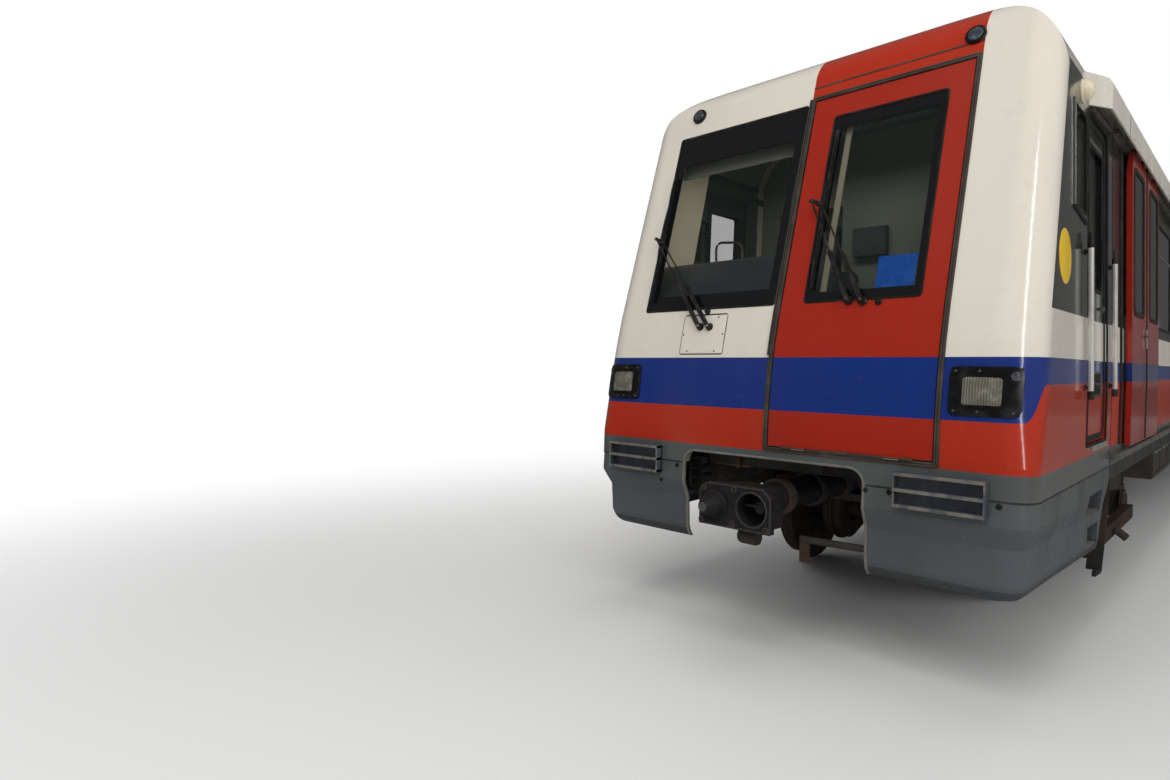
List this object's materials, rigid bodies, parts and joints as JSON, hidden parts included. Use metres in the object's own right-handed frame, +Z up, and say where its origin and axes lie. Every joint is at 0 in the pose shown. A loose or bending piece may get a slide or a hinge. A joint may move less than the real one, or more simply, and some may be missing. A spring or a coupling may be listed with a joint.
{
  "type": "metro car",
  "caption": "Metro driving car with a sloping moulded cab nose, a bottom-hinged front door, outside sliding doors and two bogies",
  "frame": {"origin": "middle of the car's length and width, on the plane of the lowest points of the wheel flanges", "axes": "+X across the car, to the right of someone facing the cab from outside; +Y from the cab nose to the rear; +Z up"},
  "size_m": [2.7378, 19.99, 3.545],
  "materials": {
    "aluminium": "satin",
    "black_steel": "satin",
    "cast_steel": "matte",
    "floor": "matte",
    "glass": "gloss",
    "grey_skirt": "satin",
    "interior": "matte",
    "lamp": "gloss",
    "painted_steel": "gloss",
    "red_paint": "gloss",
    "rubber": "matte",
    "seat": "matte",
    "stainless": "satin",
    "wheel_steel": "satin",
    "white_gelcoat": "gloss"
  },
  "bodies": {
    "carbody": {"anti_climbers": "grey_skirt", "cab_back_wall": "interior", "cab_glazing": "glass", "cab_handrails": "stainless", "cab_mask": "white_gelcoat", "cab_roof": "white_gelcoat", "cab_side_left": "painted_steel", "cab_side_right": "painted_steel", "cant_rail_covers": "painted_steel", "ceiling": "interior", "coupler_anchor": "cast_steel", "door_guide_rails": "aluminium", "driver_desk": "interior", "driver_seat": "seat", "equipment_cases": "black_steel", "front_door_frame": "rubber", "front_lamps": "lamp", "front_skirt": "grey_skirt", "gangway_bellows": "rubber", "gangway_end_frame": "aluminium", "grab_poles": "stainless", "rear_drawbar": "cast_steel", "rear_end_wall": "painted_steel", "roof_shell": "aluminium", "saloon_glazing": "glass", "saloon_seats": "seat", "side_wall_left": "painted_steel", "side_wall_right": "painted_steel", "underframe": "floor"},
    "ramp_door": {"ramp_door": "red_paint", "ramp_door_glass": "glass"},
    "cab_door_left": {"cab_door_left": "painted_steel"},
    "cab_door_right": {"cab_door_right": "painted_steel"},
    "leaf_1_left_front": {"leaf_1_left_front": "red_paint"},
    "leaf_1_left_rear": {"leaf_1_left_rear": "red_paint"},
    "leaf_1_right_front": {"leaf_1_right_front": "red_paint"},
    "leaf_1_right_rear": {"leaf_1_right_rear": "red_paint"},
    "leaf_2_left_front": {"leaf_2_left_front": "red_paint"},
    "leaf_2_left_rear": {"leaf_2_left_rear": "red_paint"},
    "leaf_2_right_front": {"leaf_2_right_front": "red_paint"},
    "leaf_2_right_rear": {"leaf_2_right_rear": "red_paint"},
    "leaf_3_left_front": {"leaf_3_left_front": "red_paint"},
    "leaf_3_left_rear": {"leaf_3_left_rear": "red_paint"},
    "leaf_3_right_front": {"leaf_3_right_front": "red_paint"},
    "leaf_3_right_rear": {"leaf_3_right_rear": "red_paint"},
    "leaf_4_left_front": {"leaf_4_left_front": "red_paint"},
    "leaf_4_left_rear": {"leaf_4_left_rear": "red_paint"},
    "leaf_4_right_front": {"leaf_4_right_front": "red_paint"},
    "leaf_4_right_rear": {"leaf_4_right_rear": "red_paint"},
    "bogie_front": {"bogie_front_frame": "black_steel", "bogie_front_springs_and_boxes": "black_steel"},
    "wheelset_1": {"wheelset_1": "wheel_steel"},
    "wheelset_2": {"wheelset_2": "wheel_steel"},
    "bogie_rear": {"bogie_rear_frame": "black_steel", "bogie_rear_springs_and_boxes": "black_steel"},
    "wheelset_3": {"wheelset_3": "wheel_steel"},
    "wheelset_4": {"wheelset_4": "wheel_steel"},
    "coupler_front": {"coupler_front": "cast_steel"}
  },
  "joints": [
    {"name": "ramp_door_fold", "type": "hinge", "parent": "carbody", "child": "ramp_door", "pos_m": [0.4525, -9.691, 1.147], "axis": [1, 0, 0], "range_deg": [0, 100]},
    {"name": "cab_door_left_swing", "type": "hinge", "parent": "carbody", "child": "cab_door_left", "pos_m": [-1.204, -8.539, 2], "axis": [0, 0, 1], "range_deg": [-80, 0]},
    {"name": "cab_door_right_swing", "type": "hinge", "parent": "carbody", "child": "cab_door_right", "pos_m": [1.204, -8.539, 2], "axis": [0, 0, 1], "range_deg": [0, 80]},
    {"name": "leaf_1_left_front_slide", "type": "slide", "parent": "carbody", "child": "leaf_1_left_front", "axis": [0, -1, 0], "range_m": [0, 0.5]},
    {"name": "leaf_1_left_rear_slide", "type": "slide", "parent": "carbody", "child": "leaf_1_left_rear", "axis": [0, 1, 0], "range_m": [0, 0.5]},
    {"name": "leaf_1_right_front_slide", "type": "slide", "parent": "carbody", "child": "leaf_1_right_front", "axis": [0, -1, 0], "range_m": [0, 0.5]},
    {"name": "leaf_1_right_rear_slide", "type": "slide", "parent": "carbody", "child": "leaf_1_right_rear", "axis": [0, 1, 0], "range_m": [0, 0.5]},
    {"name": "leaf_2_left_front_slide", "type": "slide", "parent": "carbody", "child": "leaf_2_left_front", "axis": [0, -1, 0], "range_m": [0, 0.5]},
    {"name": "leaf_2_left_rear_slide", "type": "slide", "parent": "carbody", "child": "leaf_2_left_rear", "axis": [0, 1, 0], "range_m": [0, 0.5]},
    {"name": "leaf_2_right_front_slide", "type": "slide", "parent": "carbody", "child": "leaf_2_right_front", "axis": [0, -1, 0], "range_m": [0, 0.5]},
    {"name": "leaf_2_right_rear_slide", "type": "slide", "parent": "carbody", "child": "leaf_2_right_rear", "axis": [0, 1, 0], "range_m": [0, 0.5]},
    {"name": "leaf_3_left_front_slide", "type": "slide", "parent": "carbody", "child": "leaf_3_left_front", "axis": [0, -1, 0], "range_m": [0, 0.5]},
    {"name": "leaf_3_left_rear_slide", "type": "slide", "parent": "carbody", "child": "leaf_3_left_rear", "axis": [0, 1, 0], "range_m": [0, 0.5]},
    {"name": "leaf_3_right_front_slide", "type": "slide", "parent": "carbody", "child": "leaf_3_right_front", "axis": [0, -1, 0], "range_m": [0, 0.5]},
    {"name": "leaf_3_right_rear_slide", "type": "slide", "parent": "carbody", "child": "leaf_3_right_rear", "axis": [0, 1, 0], "range_m": [0, 0.5]},
    {"name": "leaf_4_left_front_slide", "type": "slide", "parent": "carbody", "child": "leaf_4_left_front", "axis": [0, -1, 0], "range_m": [0, 0.5]},
    {"name": "leaf_4_left_rear_slide", "type": "slide", "parent": "carbody", "child": "leaf_4_left_rear", "axis": [0, 1, 0], "range_m": [0, 0.5]},
    {"name": "leaf_4_right_front_slide", "type": "slide", "parent": "carbody", "child": "leaf_4_right_front", "axis": [0, -1, 0], "range_m": [0, 0.5]},
    {"name": "leaf_4_right_rear_slide", "type": "slide", "parent": "carbody", "child": "leaf_4_right_rear", "axis": [0, 1, 0], "range_m": [0, 0.5]},
    {"name": "bogie_front_turn", "type": "hinge", "parent": "carbody", "child": "bogie_front", "pos_m": [0, -6.585, 0.7], "axis": [0, 0, 1], "range_deg": [-4, 4]},
    {"name": "wheelset_1_roll", "type": "hinge", "parent": "bogie_front", "child": "wheelset_1", "pos_m": [0, -7.635, 0.46], "axis": [1, 0, 0], "continuous": true},
    {"name": "wheelset_2_roll", "type": "hinge", "parent": "bogie_front", "child": "wheelset_2", "pos_m": [0, -5.535, 0.46], "axis": [1, 0, 0], "continuous": true},
    {"name": "bogie_rear_turn", "type": "hinge", "parent": "carbody", "child": "bogie_rear", "pos_m": [0, 6.565, 0.7], "axis": [0, 0, 1], "range_deg": [-4, 4]},
    {"name": "wheelset_3_roll", "type": "hinge", "parent": "bogie_rear", "child": "wheelset_3", "pos_m": [0, 5.515, 0.46], "axis": [1, 0, 0], "continuous": true},
    {"name": "wheelset_4_roll", "type": "hinge", "parent": "bogie_rear", "child": "wheelset_4", "pos_m": [0, 7.615, 0.46], "axis": [1, 0, 0], "continuous": true},
    {"name": "coupler_front_swing", "type": "hinge", "parent": "carbody", "child": "coupler_front", "pos_m": [0, -8.535, 0.84], "axis": [0, 0, 1], "range_deg": [-12, 12]}
  ],
  "couplings": [
    {"joint": "leaf_1_left_rear_slide", "follows": "leaf_1_left_front_slide", "ratio": 1},
    {"joint": "leaf_1_right_rear_slide", "follows": "leaf_1_right_front_slide", "ratio": 1},
    {"joint": "leaf_2_left_rear_slide", "follows": "leaf_2_left_front_slide", "ratio": 1},
    {"joint": "leaf_2_right_rear_slide", "follows": "leaf_2_right_front_slide", "ratio": 1},
    {"joint": "leaf_3_left_rear_slide", "follows": "leaf_3_left_front_slide", "ratio": 1},
    {"joint": "leaf_3_right_rear_slide", "follows": "leaf_3_right_front_slide", "ratio": 1},
    {"joint": "leaf_4_left_rear_slide", "follows": "leaf_4_left_front_slide", "ratio": 1},
    {"joint": "leaf_4_right_rear_slide", "follows": "leaf_4_right_front_slide", "ratio": 1}
  ]
}
